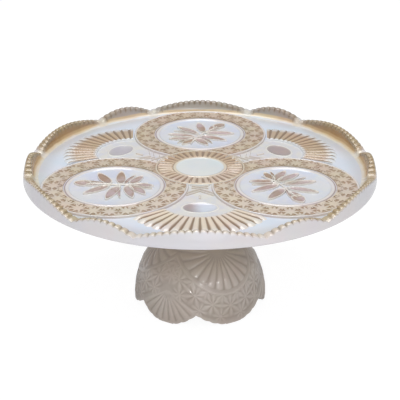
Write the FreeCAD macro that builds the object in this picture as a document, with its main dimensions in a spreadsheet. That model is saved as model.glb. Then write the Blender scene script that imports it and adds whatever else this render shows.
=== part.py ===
import FreeCAD, Part
import math
import os
import Sketcher
from FreeCAD import Placement, Rotation, Vector

# Footed cake stand in glazed earthenware: a round plate with a scalloped, beaded rim and pressed
# relief (rosette, three medallions, three fans), a thin ring of slip under it, and a hollow stem on a
# hollow scalloped foot. Z is up, the origin is on the table under the middle, and -Y is the front.
# Every length is in millimetres and every angle in degrees.

SIZES = {
    # plate
    "floor_level": 116.0,        # plain floor of the plate above the table
    "plate_thickness": 7.0,      # floor down to the flat underside
    "plate_radius": 142.0,       # widest, low on the rim
    "flat_radius": 98.0,         # flat part of the underside
    "sweep_radius": 119.3,       # where the underside sweeps up more steeply
    "sweep_rise": 1.5,           # how far it has risen there
    "edge_radius": 2.1,          # rounding between underside and rim
    "edge_drop": 0.8,            # its centre below the floor
    "edge_sweep": 73.0,          # angle that it turns through
    "lip_lean": 2.7,             # how far the rim leans in up to its top
    "lip_width": 3.0,            # wall thickness at the top of the rim
    "cove_radius": 6.4,          # hollow curve from the floor into the rim
    "cove_lean": 1.0,            # slope of the inner wall above the cove
    "cove_share": 0.84,          # width of the cove as a share of its radius
    # scalloped rim
    "wide_rise": 11.1,           # top of a wide lobe above the floor
    "narrow_rise": 10.4,         # top of a narrow lobe above the floor
    "notch_rise": 3.0,           # low point between two lobes above the floor
    "wide_angle": 38.4,          # angle that a wide lobe takes up
    "wide_beads": 18,            # beads along a wide lobe
    "narrow_beads": 10,          # beads along a narrow lobe
    "bead_depth": 1.1,           # cuts between the beads
    "edge_line": 139.0,          # radius at which the lobes are set out
    # relief on the plate
    "relief": 1.2,               # raised pattern above the floor
    "core_radius": 46.0,         # raised middle of the pattern
    "medallion_offset": 76.7,    # centre of a medallion from the middle
    "medallion_radius": 37.4,    # sunk round of a medallion
    "band_radius": 57.2,         # outside of the star band round a medallion
    "ridge_width": 2.2,          # narrow ridges round the bands
    "ridge_height": 0.85,
    "disc_radius": 19.4,         # plain disc in the middle
    "disc_depth": 0.5,           # disc below the raised pattern
    "rosette_inner": 22.4,       # flutes of the rosette, from
    "rosette_outer": 33.2,       # and to
    "rosette_flutes": 36,
    "fan_offset": 65.0,          # centre of a fan from the middle
    "fan_inner": 31.0,           # flutes of a fan, from
    "fan_outer": 55.0,           # and to
    "fan_margin": 1.6,           # raised sector past the ends of its flutes
    "fan_flutes": 15,
    "flute_pitch": 7.57,         # angle between two flutes of a fan
    "flute_share": 0.56,         # width of a flute as a share of its pitch
    "flute_depth": 0.9,
    "flute_point": 1.8,          # length of a flute's pointed inner end
    "dish_offset": 77.0,         # centre of a fan's oval dish from the middle
    "dish_length": 27.0,
    "dish_width": 18.5,
    "dish_depth": 0.9,
    "dish_draft": 60.0,          # slope of the dish's side
    # joint between plate and foot
    "seat_outer": 34.0,          # raised seat under the plate, from
    "seat_inner": 25.5,          # and to
    "seat_height": 2.0,
    "slip_thickness": 0.6,       # ring of slip between seat and collar
    "slip_width": 5.4,
    "slip_setback": 0.4,         # slip stops short of the collar's outer edge
    "collar_outer": 33.0,        # top of the stem
    # foot and stem
    "foot_radius": 55.4,
    "foot_wall": 5.5,
    "bell_inset": 4.0,           # bell of the foot part way up, in from its lower edge
    "bell_level": 26.5,
    "shoulder_inset": 11.8,      # where the bell turns in, in from its lower edge
    "shoulder_level": 43.6,
    "throat_radius": 29.0,       # top of the bell, where the stem stands on it
    "throat_level": 58.0,
    "neck_radius": 23.0,         # lower end of the stem
    "neck_level": 66.0,
    "waist_radius": 22.0,        # narrowest part of the stem
    "waist_level": 74.0,
    "flare_radius": 25.0,        # stem part way up to the collar
    "flare_level": 92.5,
    "hem_height": 3.0,           # upright hem at the foot's lower edge
    "foot_turn": 29.5,           # first wide lobe, round from the front
    "foot_wide_angle": 65.5,     # angle that a wide lobe of the foot takes up
    "foot_notch": 10.0,          # height of the notches between the lobes
    "foot_contact": 14.0,        # flat length on which a lobe stands
}

RIM_PAIRS = 6                    # pairs of a wide and a narrow lobe round the rim
FOOT_PAIRS = 3                   # pairs of a wide and a narrow lobe round the foot
REPEATS = 3                      # medallions, with a fan between each two
FULL_TURN = 360.0
REACH = 12.0                     # how far a cut runs on past the solid
NOTCH_FLAT = 1.0                 # flat bottom of a notch, past the end of the lobe on each side
BEAD_SHAPE = ((0.0, 0.0), (0.26, 1.0), (0.74, 1.0))  # height of a bead along its pitch


def make_sheet(doc):
    """Write every driving size into a spreadsheet, one aliased cell each."""
    sheet = doc.addObject("Spreadsheet::Sheet", "Sizes")
    for row, (name, value) in enumerate(SIZES.items(), start=1):
        sheet.set(f"A{row}", name)
        sheet.set(f"B{row}", str(value))
        sheet.setAlias(f"B{row}", name)
    doc.recompute()


def start_body(doc, name):
    body = doc.addObject("PartDesign::Body", name)
    body.Label = name
    body.Placement = Placement()
    return body


def value(body, text):
    """Number that an expression on the sheet gives."""
    return float(body.evalExpression(text))


def spot(body, corner):
    return Vector(value(body, corner[0]), value(body, corner[1]), 0)


def origin_item(body, role):
    return next(item for item in body.Origin.OriginFeatures if item.Role == role)


def upright_sketch(body, name, turn=0.0, centre=0.0, rise=0.0, out=0.0):
    """Sketch whose Y is up. Its X points round by turn from +X, from a centre on the Y axis at
    rise above the table, and it stands out from there, forwards when turn is zero."""
    sketch = body.newObject("Sketcher::SketchObject", name)
    sketch.AttachmentSupport = (origin_item(body, "XZ_Plane"), "")
    sketch.MapMode = "FlatFace"
    spin = Rotation(Vector(0, 1, 0), turn)
    base = Vector(0, rise, -centre) + spin.multVec(Vector(0, 0, out))
    sketch.AttachmentOffset = Placement(base, spin)
    return sketch


def level_sketch(body, name, level, turn=0.0, centre=0.0):
    """Sketch that lies flat at a level given by an expression, round a centre on the Y axis."""
    sketch = body.newObject("Sketcher::SketchObject", name)
    sketch.AttachmentSupport = (origin_item(body, "XY_Plane"), "")
    sketch.MapMode = "FlatFace"
    sketch.AttachmentOffset = Placement(Vector(0, centre, 0), Rotation(Vector(0, 0, 1), turn))
    sketch.setExpression("AttachmentOffset.Base.z", level)
    return sketch


def smooth_arc(before, start, end):
    """Arc from start to end that carries on in the direction of the piece before it."""
    last = before.LastParameter
    if (before.value(last) - start).Length > 1e-6:
        last = before.FirstParameter
    heading = before.tangent(last)[0]
    if last == before.FirstParameter:
        heading = -heading
    chord = end - start
    across = heading.cross(Vector(0, 0, 1))
    radius = chord.Length ** 2 / (2 * chord.dot(across))
    centre = start + across * radius
    middle = (start + end) / 2 - centre
    middle.normalize()
    side = 1 if middle.dot(start - centre) > 0 else -1
    return Part.Arc(start, centre + middle * side * abs(radius), end)


def draw_outline(body, sketch, start, steps):
    """Closed outline. A step is (x, y) for a line, (x, y, mx, my) for an arc through a middle
    point, and (x, y, facets) for a curve that carries on smoothly in that many short flats."""
    corners = [start] + [step[:2] for step in steps]
    spots = [spot(body, corner) for corner in corners]
    pieces = []
    pins = []
    curve = None
    for begin, end, step, corner in zip(spots, spots[1:], steps, corners):
        pins.append(corner)
        if len(step) == 3:
            curve = smooth_arc(curve, begin, end)
            points = curve.discretize(step[2] + 1)
            pieces += [Part.LineSegment(p, q) for p, q in zip(points, points[1:])]
            pins += [None] * (step[2] - 1)
            continue
        curve = Part.Arc(begin, spot(body, step[2:]), end) if step[2:] else Part.LineSegment(begin, end)
        pieces.append(curve)
    numbers = sketch.addGeometry(pieces, False)
    for number, other in zip(numbers, numbers[1:] + numbers[:1]):
        join_ends(sketch, number, other)
    for number, piece, corner in zip(numbers, pieces, pins):
        if corner:
            near = (sketch.getPoint(number, 1) - spot(body, corner)).Length < 1e-6
            bind_point(body, sketch, number, 1 if near else 2, corner)


def join_ends(sketch, number, other):
    """Tie the ends at which two pieces of an outline meet."""
    place, other_place = min(((i, j) for i in (1, 2) for j in (1, 2)), key=lambda pair: (
        sketch.getPoint(number, pair[0]) - sketch.getPoint(other, pair[1])).Length)
    sketch.addConstraint(Sketcher.Constraint("Coincident", number, place, other, other_place))


def bind_point(body, sketch, number, place, corner):
    """Pin a point of a sketch to two expressions on the sheet."""
    for kind, text in zip(("DistanceX", "DistanceY"), corner):
        datum = Sketcher.Constraint(kind, -1, 1, number, place, value(body, text))
        index = sketch.addConstraint(datum)
        sketch.setExpression(f"Constraints[{index}]", text)


def draw_circle(body, sketch, centre, radius):
    """Circle whose centre and radius follow the sheet."""
    circle = Part.Circle(spot(body, centre), Vector(0, 0, 1), value(body, radius))
    number = sketch.addGeometry(circle, False)
    bind_point(body, sketch, number, 3, centre)
    index = sketch.addConstraint(Sketcher.Constraint("Radius", number, value(body, radius)))
    sketch.setExpression(f"Constraints[{index}]", radius)


def extrude(body, kind, name, sketch, length):
    """Pad or Pocket of a sketch."""
    feature = body.newObject(f"PartDesign::{kind}", name)
    feature.Refine = False
    feature.Profile = sketch
    feature.setExpression("Length", length)
    return feature


def turned(body, kind, name, sketch, axis="V_Axis", angle="360"):
    """Revolution or Groove of a sketch about one of its own axes."""
    feature = body.newObject(f"PartDesign::{kind}", name)
    feature.Refine = False
    feature.Profile = sketch
    feature.ReferenceAxis = (sketch, [axis])
    feature.setExpression("Angle", angle)
    return feature


def repeat_round(body, name, features, count, angle="360", axis=None):
    """Copies of features round the middle, or round another axis."""
    pattern = body.newObject("PartDesign::PolarPattern", name)
    pattern.Refine = False
    pattern.Originals = features
    pattern.Axis = axis or (origin_item(body, "Z_Axis"), [""])
    pattern.setExpression("Angle", angle)
    pattern.setExpression("Occurrences", count)
    body.Tip = pattern
    return pattern


def repeat_fans(doc, body, name, groove, sketch):
    """Copies of a flute across one fan, and that fan for every gap between two medallions."""
    across = doc.addObject("PartDesign::PolarPattern", f"{name}_across")
    across.Axis = (sketch, ["N_Axis"])
    across.setExpression("Angle", FAN_SPREAD)
    across.setExpression("Occurrences", "Sizes.fan_flutes")
    around = doc.addObject("PartDesign::PolarPattern", f"{name}_around")
    around.Axis = (origin_item(body, "Z_Axis"), [""])
    around.Angle = FULL_TURN
    around.Occurrences = REPEATS
    pattern = body.newObject("PartDesign::MultiTransform", name)
    pattern.Refine = False
    pattern.Originals = [groove]
    pattern.Transformations = [across, around]
    body.Tip = pattern


# ---------------------------------------------------------------------------------------------
# Plate
# ---------------------------------------------------------------------------------------------

FLOOR = "Sizes.floor_level"
UNDERSIDE = "(Sizes.floor_level - Sizes.plate_thickness)"
SEAT = f"({UNDERSIDE} - Sizes.seat_height)"
COLLAR = f"({SEAT} - Sizes.slip_thickness)"
RAISED = "(Sizes.floor_level + Sizes.relief)"
BLANK_TOP = "(Sizes.floor_level + Sizes.wide_rise + 1)"
LIP_INNER = "(Sizes.plate_radius - Sizes.lip_lean - Sizes.lip_width)"
COVE_TOP = f"({LIP_INNER} - Sizes.cove_lean)"
FAN_SPREAD = "(Sizes.flute_pitch * (Sizes.fan_flutes - 1))"
BELL = "(Sizes.foot_radius - Sizes.bell_inset)"
SHOULDER = "(Sizes.foot_radius - Sizes.shoulder_inset)"
ROOT = 2.0                       # relief is rooted this far below the plate's floor


def rounded(centre, level, reach, drop, angles):
    """Corners along a round edge or hollow below and outside its centre, one for each angle."""
    return [(f"{centre} + {reach} * cos({angle})", f"{level} - {drop} * sin({angle})") for angle in angles]


def plate_blank(body):
    """Turned plate whose rim still has its full height all round."""
    sketch = upright_sketch(body, "plate_section")
    edge = rounded("Sizes.plate_radius - Sizes.edge_radius", f"{FLOOR} - Sizes.edge_drop",
                   "Sizes.edge_radius", "Sizes.edge_radius", ("Sizes.edge_sweep", "0"))
    cove_width = "Sizes.cove_radius * Sizes.cove_share"
    cove = rounded(f"{COVE_TOP} - {cove_width}", f"{FLOOR} + Sizes.cove_radius",
                   cove_width, "Sizes.cove_radius", ("0", "45", "90"))
    draw_outline(body, sketch, ("0", FLOOR), [
        ("0", UNDERSIDE),
        ("Sizes.seat_inner", UNDERSIDE),
        ("Sizes.seat_inner", SEAT),
        ("Sizes.seat_outer", SEAT),
        ("Sizes.seat_outer", UNDERSIDE),
        ("Sizes.flat_radius", UNDERSIDE),
        ("Sizes.sweep_radius", f"{UNDERSIDE} + Sizes.sweep_rise"),
        *edge,
        ("Sizes.plate_radius - Sizes.lip_lean", BLANK_TOP),
        (LIP_INNER, BLANK_TOP),
        *cove,
        ("0", FLOOR),
    ])
    turned(body, "Revolution", "plate_blank", sketch)


def beaded_edge(half_width, low, high, beads, depth):
    """Outline of the beads along the round top of a lobe, from its left notch to its right one."""
    sagitta = high - depth - low
    radius = (half_width ** 2 + sagitta ** 2) / (2 * sagitta)
    centre = low + sagitta - radius
    half_angle = math.asin(half_width / radius)

    def on_arc(step, reach):
        angle = half_angle * (2 * step / beads - 1)
        return Vector(reach * math.sin(angle), centre + reach * math.cos(angle), 0)

    corners = [on_arc(bead + share, radius + depth * height)
               for bead in range(beads) for share, height in BEAD_SHAPE] + [on_arc(beads, radius)]
    return [Part.LineSegment(a, b) for a, b in zip(corners, corners[1:])]


def cut_lobes(body, name, turn, angle, rise, beads):
    """Cut the rim down to one kind of lobe, all the way round."""
    line = value(body, "Sizes.edge_line")
    low = value(body, f"{FLOOR} + Sizes.notch_rise")
    high = value(body, f"{FLOOR} + {rise}")
    half_width = line * math.sin(math.radians(value(body, angle) / 2))
    edge = beaded_edge(half_width, low, high, int(value(body, beads)), value(body, "Sizes.bead_depth"))
    flat = half_width + NOTCH_FLAT
    climb = REACH
    corners = [Vector(half_width, low, 0), Vector(flat, low, 0), Vector(flat + climb, low + climb, 0),
               Vector(-flat - climb, low + climb, 0), Vector(-flat, low, 0), Vector(-half_width, low, 0)]
    sides = [Part.LineSegment(a, b) for a, b in zip(corners, corners[1:])]
    outside = value(body, "Sizes.plate_radius") + REACH
    sketch = upright_sketch(body, f"{name}_edge", turn=turn, out=outside)
    sketch.addGeometry(edge + sides, False)
    cut = extrude(body, "Pocket", f"{name}_cut", sketch,
                  f"{REACH} + Sizes.plate_radius * (1 - cos({angle} / 2)) + Sizes.plate_radius - {COVE_TOP}"
                  f" + {REACH}")
    repeat_round(body, f"{name}_lobes", [cut], str(RIM_PAIRS))


def raised_ground(body):
    """Flat raised ground of the pattern: middle, star bands and fans, less the sunk rounds."""
    level = f"{FLOOR} - {ROOT}"
    height = f"Sizes.relief + {ROOT}"
    sketch = level_sketch(body, "core", level)
    draw_circle(body, sketch, ("0", "0"), "Sizes.core_radius")
    extrude(body, "Pad", "core_ground", sketch, height)

    sketch = level_sketch(body, "band", level)
    draw_circle(body, sketch, ("0", "Sizes.medallion_offset"), "Sizes.band_radius")
    band = extrude(body, "Pad", "band_ground", sketch, height)

    sketch = level_sketch(body, "sector", level)
    half = "(Sizes.fan_flutes * Sizes.flute_pitch / 2)"
    inner = "(Sizes.fan_inner - Sizes.fan_margin)"
    outer = "(Sizes.fan_outer + Sizes.fan_margin)"
    middle = "Sizes.fan_offset"
    draw_outline(body, sketch, (f"-{inner} * sin({half})", f"-{middle} - {inner} * cos({half})"), [
        (f"-{outer} * sin({half})", f"-{middle} - {outer} * cos({half})"),
        (f"{outer} * sin({half})", f"-{middle} - {outer} * cos({half})", "0", f"-{middle} - {outer}"),
        (f"{inner} * sin({half})", f"-{middle} - {inner} * cos({half})"),
        (f"-{inner} * sin({half})", f"-{middle} - {inner} * cos({half})", "0", f"-{middle} - {inner}"),
    ])
    sector = extrude(body, "Pad", "fan_ground", sketch, height)
    repeat_round(body, "grounds", [band, sector], str(REPEATS))


def sunk_rounds(body):
    """Sunk middles of the medallions, and the slightly sunk disc in the centre."""
    sketch = level_sketch(body, "round", RAISED)
    draw_circle(body, sketch, ("0", "Sizes.medallion_offset"), "Sizes.medallion_radius")
    cut = extrude(body, "Pocket", "medallion_round", sketch, "Sizes.relief")
    repeat_round(body, "medallions", [cut], str(REPEATS))
    sketch = level_sketch(body, "disc", RAISED)
    draw_circle(body, sketch, ("0", "0"), "Sizes.disc_radius")
    extrude(body, "Pocket", "centre_disc", sketch, "Sizes.disc_depth")


def ridges(body):
    """Narrow ridge round each medallion."""
    centre = value(body, "Sizes.medallion_offset")
    foot = "(Sizes.ridge_width / 2)"
    radius = f"(Sizes.medallion_radius + {foot})"
    base = f"{RAISED} - Sizes.ridge_height / 2"
    sketch = upright_sketch(body, "ridge_section", centre=centre)
    draw_outline(body, sketch, (f"{radius} - {foot} * 1.5", base), [
        (f"{radius} + {foot} * 1.5", base),
        (radius, f"{RAISED} + Sizes.ridge_height"),
        (f"{radius} - {foot} * 1.5", base),
    ])
    ring = turned(body, "Revolution", "ridge", sketch)
    repeat_round(body, "ridges", [ring], str(REPEATS))


def flute(body, name, inner, outer, pitch, turn=0.0, centre=0.0):
    """One long flute that widens outwards from a pointed inner end."""
    sketch = level_sketch(body, f"{name}_outline", RAISED, turn=turn, centre=centre)
    near = f"({inner} + Sizes.flute_point)"
    spread = f"Sizes.flute_share * tan({pitch} / 2)"
    draw_outline(body, sketch, (inner, "0"), [
        (near, f"-{spread} * {near}"),
        (outer, f"-{spread} * {outer}"),
        (outer, f"{spread} * {outer}"),
        (near, f"{spread} * {near}"),
        (inner, "0"),
    ])
    return sketch, extrude(body, "Pocket", name, sketch, "Sizes.flute_depth")


def drafted_pocket(body, name, sketch, depth, draft):
    """Pocket whose sides slope inwards to its floor."""
    pocket = extrude(body, "Pocket", name, sketch, depth)
    pocket.setExpression("TaperAngle", f"-{draft}")
    return pocket


def flutes(doc, body):
    """Flutes of the rosette and of the three fans."""
    pitch = f"({FULL_TURN} / Sizes.rosette_flutes)"
    groove = flute(body, "rosette_flute", "Sizes.rosette_inner", "Sizes.rosette_outer", pitch,
                   turn=value(body, pitch) / 2)[1]
    repeat_round(body, "rosette", [groove], "Sizes.rosette_flutes")
    sketch, groove = flute(body, "fan_flute", "Sizes.fan_inner", "Sizes.fan_outer", "Sizes.flute_pitch",
                           turn=-90 - value(body, FAN_SPREAD) / 2, centre=-value(body, "Sizes.fan_offset"))
    repeat_fans(doc, body, "fans", groove, sketch)


def oval_dishes(body):
    """Shallow oval dish at the hub of each fan."""
    sketch = level_sketch(body, "dish_outline", FLOOR, centre=-value(body, "Sizes.dish_offset"))
    corners = [(f"Sizes.dish_length / 2 * cos({angle})", f"Sizes.dish_width / 2 * sin({angle})")
               for angle in range(0, 361, 30)]
    draw_outline(body, sketch, corners[0], corners[1:])
    dish = drafted_pocket(body, "oval_dish", sketch, "Sizes.dish_depth", "Sizes.dish_draft")
    repeat_round(body, "dishes", [dish], str(REPEATS))


def make_plate(doc):
    body = start_body(doc, "plate")
    plate_blank(body)
    raised_ground(body)
    sunk_rounds(body)
    ridges(body)
    oval_dishes(body)
    flutes(doc, body)
    cut_lobes(body, "wide", 0.0, "Sizes.wide_angle", "Sizes.wide_rise", "Sizes.wide_beads")
    narrow_turn = FULL_TURN / RIM_PAIRS / 2
    cut_lobes(body, "narrow", narrow_turn, f"({FULL_TURN} / {RIM_PAIRS} - Sizes.wide_angle)",
              "Sizes.narrow_rise", "Sizes.narrow_beads")
    return body


# ---------------------------------------------------------------------------------------------
# Slip joint
# ---------------------------------------------------------------------------------------------

def make_slip_ring(doc):
    body = start_body(doc, "slip_ring")
    sketch = upright_sketch(body, "slip_section")
    outer = "Sizes.collar_outer - Sizes.slip_setback"
    inner = f"{outer} - Sizes.slip_width"
    draw_outline(body, sketch, (inner, COLLAR), [
        (outer, COLLAR),
        (outer, SEAT),
        (inner, SEAT),
        (inner, COLLAR),
    ])
    turned(body, "Revolution", "slip_joint", sketch)
    return body


# ---------------------------------------------------------------------------------------------
# Foot and stem
# ---------------------------------------------------------------------------------------------

def foot_blank(body):
    """Turned bell, solid, up to its joint with the stem."""
    sketch = upright_sketch(body, "foot_section")
    draw_outline(body, sketch, ("0", "0"), [
        ("Sizes.foot_radius", "0"),
        ("Sizes.foot_radius", "Sizes.hem_height"),
        (BELL, "Sizes.bell_level", 2),
        (SHOULDER, "Sizes.shoulder_level", 1),
        ("Sizes.throat_radius", "Sizes.throat_level", 2),
        ("0", "Sizes.throat_level"),
        ("0", "0"),
    ])
    turned(body, "Revolution", "foot_blank", sketch)


def stem_blank(body):
    """Turned stem, solid, from the bell up to the collar that carries the plate."""
    sketch = upright_sketch(body, "stem_section")
    draw_outline(body, sketch, ("0", "Sizes.throat_level"), [
        ("Sizes.throat_radius", "Sizes.throat_level"),
        ("Sizes.neck_radius", "Sizes.neck_level"),
        ("Sizes.waist_radius", "Sizes.waist_level"),
        ("Sizes.flare_radius", "Sizes.flare_level"),
        ("Sizes.collar_outer", COLLAR),
        ("0", COLLAR),
        ("0", "Sizes.throat_level"),
    ])
    turned(body, "Revolution", "stem_blank", sketch)


def hollow_out(body):
    """Inside of bell and stem, which follows the outside at an even wall and is open at both ends."""
    wall = "Sizes.foot_wall"
    sketch = upright_sketch(body, "hollow_section")
    draw_outline(body, sketch, ("0", f"-{REACH}"), [
        (f"Sizes.foot_radius - {wall}", f"-{REACH}"),
        (f"Sizes.foot_radius - {wall}", "Sizes.hem_height"),
        (f"{BELL} - {wall}", f"Sizes.bell_level - {wall} * 0.3"),
        (f"{SHOULDER} - {wall} * 0.86", f"Sizes.shoulder_level - {wall} * 0.6"),
        (f"Sizes.throat_radius - {wall} * 0.7", f"Sizes.throat_level - {wall} * 0.8"),
        (f"Sizes.waist_radius - {wall}", "Sizes.neck_level"),
        (f"Sizes.waist_radius - {wall}", "Sizes.waist_level"),
        (f"Sizes.flare_radius - {wall}", "Sizes.flare_level"),
        (f"Sizes.collar_outer - {wall}", COLLAR),
        (f"Sizes.collar_outer - {wall}", f"{COLLAR} + {REACH}"),
        ("0", f"{COLLAR} + {REACH}"),
        ("0", f"-{REACH}"),
    ])
    turned(body, "Groove", "hollow", sketch)


def cut_foot_lobes(body, name, turn, angle):
    """Cut the foot's lower edge to one kind of lobe: a flat to stand on, and a round edge that
    rises from it to the notches on both sides."""
    half = f"(Sizes.foot_radius * sin({angle} / 2))"
    flat = "(Sizes.foot_contact / 2)"
    # the edge is an arc about a point straight above the lobe's middle
    drop = f"((({half} * {half} - {flat} * {flat}) / Sizes.foot_notch + Sizes.foot_notch) / 2)"
    curve = f"({flat} * {flat} + {drop} * {drop})"
    middle = f"(({half} + {flat}) / 2)"
    middle_level = f"({drop} - sqrt({curve} - {middle} * {middle}))"
    outside = value(body, "Sizes.foot_radius") + REACH
    cuts = []
    for side, word in ((1, "right"), (-1, "left")):
        sketch = upright_sketch(body, f"{name}_{word}_edge", turn=turn, out=outside)
        draw_outline(body, sketch, (f"{side} * {flat}", "0"), [
            (f"{side} * {half}", "Sizes.foot_notch", f"{side} * {middle}", middle_level),
            (f"{side} * ({half} + {NOTCH_FLAT})", "Sizes.foot_notch"),
            (f"{side} * ({half} + {NOTCH_FLAT})", f"-{REACH}"),
            (f"{side} * {flat}", f"-{REACH}"),
            (f"{side} * {flat}", "0"),
        ])
        depth = f"{REACH} + Sizes.foot_radius * 0.65"
        cuts.append(extrude(body, "Pocket", f"{name}_{word}_cut", sketch, depth))
    repeat_round(body, f"{name}_foot_lobes", cuts, str(FOOT_PAIRS))


def make_foot(doc):
    body = start_body(doc, "foot")
    foot_blank(body)
    hollow_out(body)
    turn = value(body, "Sizes.foot_turn")
    cut_foot_lobes(body, "wide", turn, "Sizes.foot_wide_angle")
    narrow_turn = turn + FULL_TURN / FOOT_PAIRS / 2
    narrow_angle = f"({FULL_TURN} / {FOOT_PAIRS} - Sizes.foot_wide_angle)"
    cut_foot_lobes(body, "narrow", narrow_turn, narrow_angle)
    return body


def make_stem(doc):
    body = start_body(doc, "stem")
    stem_blank(body)
    hollow_out(body)
    return body


# ---------------------------------------------------------------------------------------------

def check(doc, bodies):
    """Stop if any object failed or any sub-part has no sound solid."""
    for item in doc.Objects:
        if "Invalid" in item.State or "Error" in item.State:
            raise RuntimeError(f"{item.Name} failed: {item.State}")
    for body in bodies:
        shape = body.Shape
        if shape.isNull() or not shape.isValid() or len(shape.Solids) != 1 or not shape.Solids[0].isClosed():
            raise RuntimeError(f"{body.Label} is not one sound, closed solid")


def main():
    doc = FreeCAD.newDocument("cake_stand")
    make_sheet(doc)
    bodies = [make_plate(doc), make_slip_ring(doc), make_stem(doc), make_foot(doc)]
    doc.recompute()
    check(doc, bodies)
    os.makedirs("parts", exist_ok=True)
    for body in bodies:
        body.Shape.exportStep(f"parts/{body.Label}.step")
        print(body.Label, round(body.Shape.Volume / 1000, 1), "cm3", body.Shape.BoundBox)


main()
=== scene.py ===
import math

import bmesh
import bpy
import numpy as np
from mathutils import Matrix, Vector


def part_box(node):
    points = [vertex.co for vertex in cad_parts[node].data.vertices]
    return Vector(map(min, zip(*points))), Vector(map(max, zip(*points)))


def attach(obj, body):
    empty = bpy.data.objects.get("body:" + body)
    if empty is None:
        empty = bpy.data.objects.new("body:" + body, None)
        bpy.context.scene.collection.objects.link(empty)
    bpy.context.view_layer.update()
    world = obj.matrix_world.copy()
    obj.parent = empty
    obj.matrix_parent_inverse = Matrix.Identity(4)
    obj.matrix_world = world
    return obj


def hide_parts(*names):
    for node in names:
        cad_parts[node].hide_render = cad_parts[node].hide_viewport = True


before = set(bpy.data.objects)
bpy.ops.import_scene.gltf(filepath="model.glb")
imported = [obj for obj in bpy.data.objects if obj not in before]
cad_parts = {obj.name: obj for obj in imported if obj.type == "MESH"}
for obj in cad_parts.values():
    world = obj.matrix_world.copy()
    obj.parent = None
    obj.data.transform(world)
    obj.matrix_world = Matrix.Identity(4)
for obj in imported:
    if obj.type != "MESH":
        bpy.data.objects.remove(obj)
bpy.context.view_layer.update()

# Cake stand in pressed, glazed earthenware. Pieces are modelled in millimetres, in the frame of the
# CAD solids (Z up, origin on the table, -Y the front), and brought to metres when they are finished.

TURN = 2 * math.pi
THIRD = TURN / 3
MM = 0.001

PLATE_LOW, PLATE_HIGH = [corner * 1000 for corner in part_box("plate")]
PLATE_R = PLATE_HIGH.x
FOOT_R = (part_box("foot")[1] * 1000).x
COLLAR_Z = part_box("stem")[1].z * 1000

SEAT_DEPTH = 2.0  # ring under the plate that sits on the foot
PLATE_THICKNESS = 7.0
RELIEF = 1.2  # raised pattern over the plate's floor
UNDERSIDE_Z = PLATE_LOW.z + SEAT_DEPTH
FLOOR_Z = UNDERSIDE_Z + PLATE_THICKNESS
RAISED_Z = FLOOR_Z + RELIEF


# ---------------- Working with the operators ----------------

def put_all_down():
    if bpy.context.mode != "OBJECT":
        bpy.ops.object.mode_set(mode="OBJECT")
    bpy.ops.object.select_all(action="DESELECT")


def add(operator, **settings):
    """New object from one of Blender's own operators."""
    put_all_down()
    operator(**settings)
    return bpy.context.object


def take_up(*objects):
    put_all_down()
    for item in objects:
        item.select_set(True)
    bpy.context.view_layer.objects.active = objects[0]


def edit(piece, everything=True):
    take_up(piece)
    bpy.ops.object.mode_set(mode="EDIT")
    bpy.ops.mesh.select_mode(type="VERT")
    bpy.ops.mesh.select_all(action="SELECT" if everything else "DESELECT")


def leave():
    bpy.ops.object.mode_set(mode="OBJECT")


def select_verts(piece, test):
    """In edit mode, select the vertices for which test(position) holds, and what lies between."""
    bpy.ops.mesh.select_mode(type="VERT")
    mesh = bmesh.from_edit_mesh(piece.data)
    for vert in mesh.verts:
        vert.select = test(vert.co)
    mesh.select_flush_mode()
    bmesh.update_edit_mesh(piece.data)


def select_open_edges():
    """In edit mode, select the edges that have a face on one side only."""
    bpy.ops.mesh.select_all(action="DESELECT")
    bpy.ops.mesh.select_mode(type="EDGE")
    bpy.ops.mesh.select_non_manifold()


def points(piece):
    """Positions of a mesh's vertices as an array of rows."""
    rows = np.empty(len(piece.data.vertices) * 3)
    piece.data.vertices.foreach_get("co", rows)
    return rows.reshape(-1, 3)


def move_points(piece, rows):
    piece.data.vertices.foreach_set("co", np.asarray(rows, float).reshape(-1))
    piece.data.update()


def tidy(piece, gap=0.002):
    """Merge doubles and turn the faces outwards."""
    edit(piece)
    bpy.ops.mesh.remove_doubles(threshold=gap)
    bpy.ops.mesh.normals_make_consistent(inside=False)
    leave()


def trace(name, line):
    """Edge line through (radius, height) points in the XZ plane, extruded point by point."""
    piece = add(bpy.ops.mesh.primitive_plane_add, size=1.0)
    piece.name = name
    edit(piece)
    bpy.ops.mesh.merge(type="CENTER")
    bpy.ops.transform.translate(value=(line[0][0], 0, line[0][1]))
    for before, after in zip(line, line[1:]):
        step = (after[0] - before[0], 0, after[1] - before[1])
        bpy.ops.mesh.extrude_region_move(TRANSFORM_OT_translate={"value": step})
    leave()
    return piece


def lathe(name, line, steps, centre=(0, 0), sweep=TURN):
    """Piece turned from an outline of (distance from the centre, height) points."""
    piece = trace(name, line)
    edit(piece)
    bpy.ops.transform.translate(value=(centre[0], centre[1], 0))
    bpy.ops.mesh.spin(steps=steps, angle=-sweep, center=(centre[0], centre[1], 0), axis=(0, 0, 1))
    leave()
    tidy(piece)
    return piece


def turn(piece, angle, centre=(0, 0)):
    """Turn a piece's mesh about an upright axis, counter-clockwise seen from above."""
    pivot = Matrix.Translation((centre[0], centre[1], 0))
    piece.data.transform(pivot @ Matrix.Rotation(angle, 4, "Z") @ pivot.inverted())


def shift(piece, x=0.0, y=0.0, z=0.0):
    piece.data.transform(Matrix.Translation((x, y, z)))


def copy_of(piece, name):
    """Copy with a mesh of its own."""
    take_up(piece)
    bpy.ops.object.duplicate(linked=False)
    twin = bpy.context.object
    twin.name = name
    return twin


def joined(name, parts):
    take_up(*parts)
    bpy.ops.object.join()
    piece = bpy.context.object
    piece.name = name
    return piece


def copies_round(piece, count, angle, centre=(0, 0)):
    """Repeat all of a mesh round an upright axis: count pieces in all, angle between neighbours."""
    edit(piece)
    bpy.ops.mesh.spin(steps=count - 1, dupli=True, angle=-angle * (count - 1),
                      center=(centre[0], centre[1], 0), axis=(0, 0, 1))
    leave()


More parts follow.
